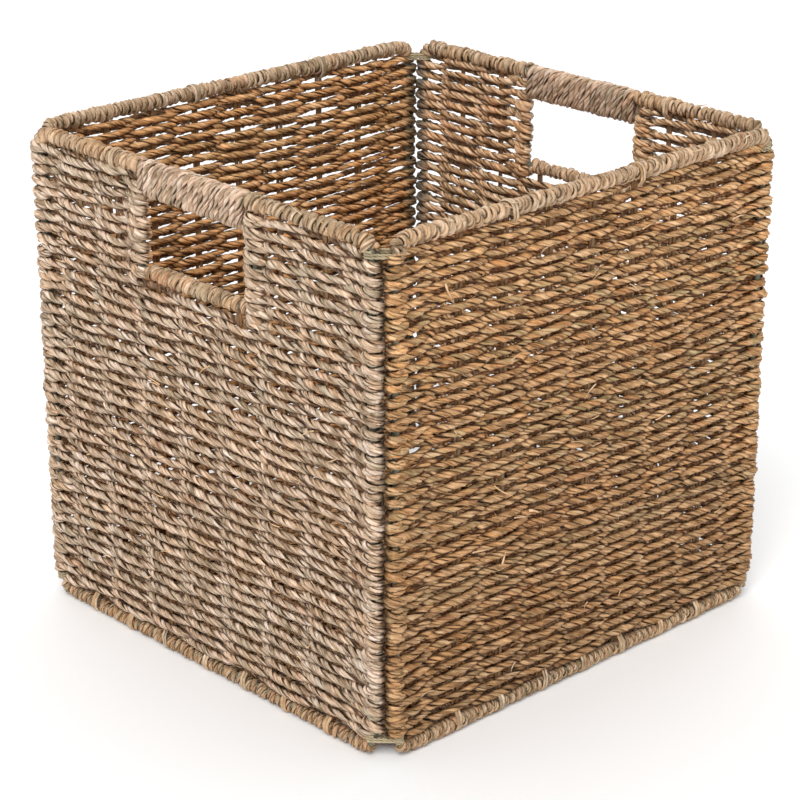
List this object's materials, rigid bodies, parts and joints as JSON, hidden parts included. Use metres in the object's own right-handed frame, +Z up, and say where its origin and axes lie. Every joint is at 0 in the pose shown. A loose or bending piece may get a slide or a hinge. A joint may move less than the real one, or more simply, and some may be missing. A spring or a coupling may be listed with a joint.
{
  "type": "woven storage basket",
  "caption": "Square open-top storage basket of twisted seagrass rope woven on wire frames, with a hand hole in two opposite walls and a hinged base flap so that it folds.",
  "frame": {"origin": "centre of the underside, on the floor", "axes": "+Z up, +X along the walls with hand holes and away from the base's hinge, -Y the front wall"},
  "size_m": [0.32, 0.33, 0.31],
  "materials": {
    "seagrass_weave": "matte twisted natural fibre",
    "seagrass_binding": "matte flat natural strands",
    "seagrass_stakes": "matte natural fibre",
    "frame_wire": "dull grey-green coating",
    "twine": "matte twisted twine"
  },
  "bodies": {
    "walls": {"back_bottom_binding": "seagrass_binding", "back_frame": "frame_wire", "back_hand_bar_binding": "seagrass_binding", "back_hand_frame": "frame_wire", "back_hand_grip": "seagrass_binding", "back_stakes": "seagrass_stakes", "back_top_binding_1": "seagrass_binding", "back_top_binding_2": "seagrass_binding", "back_weave": "seagrass_weave", "front_bottom_binding": "seagrass_binding", "front_frame": "frame_wire", "front_hand_bar_binding": "seagrass_binding", "front_hand_frame": "frame_wire", "front_hand_grip": "seagrass_binding", "front_stakes": "seagrass_stakes", "front_top_binding_1": "seagrass_binding", "front_top_binding_2": "seagrass_binding", "front_weave": "seagrass_weave", "hinge_ties": "twine", "lashing_back_left_high": "twine", "lashing_back_left_low": "twine", "lashing_back_right_high": "twine", "lashing_back_right_low": "twine", "lashing_front_left_high": "twine", "lashing_front_left_low": "twine", "lashing_front_right_high": "twine", "lashing_front_right_low": "twine", "left_bottom_binding": "seagrass_binding", "left_frame": "frame_wire", "left_stakes": "seagrass_stakes", "left_top_binding": "seagrass_binding", "left_weave": "seagrass_weave", "right_bottom_binding": "seagrass_binding", "right_frame": "frame_wire", "right_stakes": "seagrass_stakes", "right_top_binding": "seagrass_binding", "right_weave": "seagrass_weave"},
    "base": {"base_far_binding": "seagrass_binding", "base_frame": "frame_wire", "base_hinge_binding": "seagrass_binding", "base_stakes": "seagrass_stakes", "base_weave": "seagrass_weave"}
  },
  "joints": [
    {"name": "base_flap", "type": "hinge", "parent": "walls", "child": "base", "pos_m": [-0.1435, 0, 0.005], "axis": [0, -1, 0], "range_deg": [0, 90]}
  ]
}
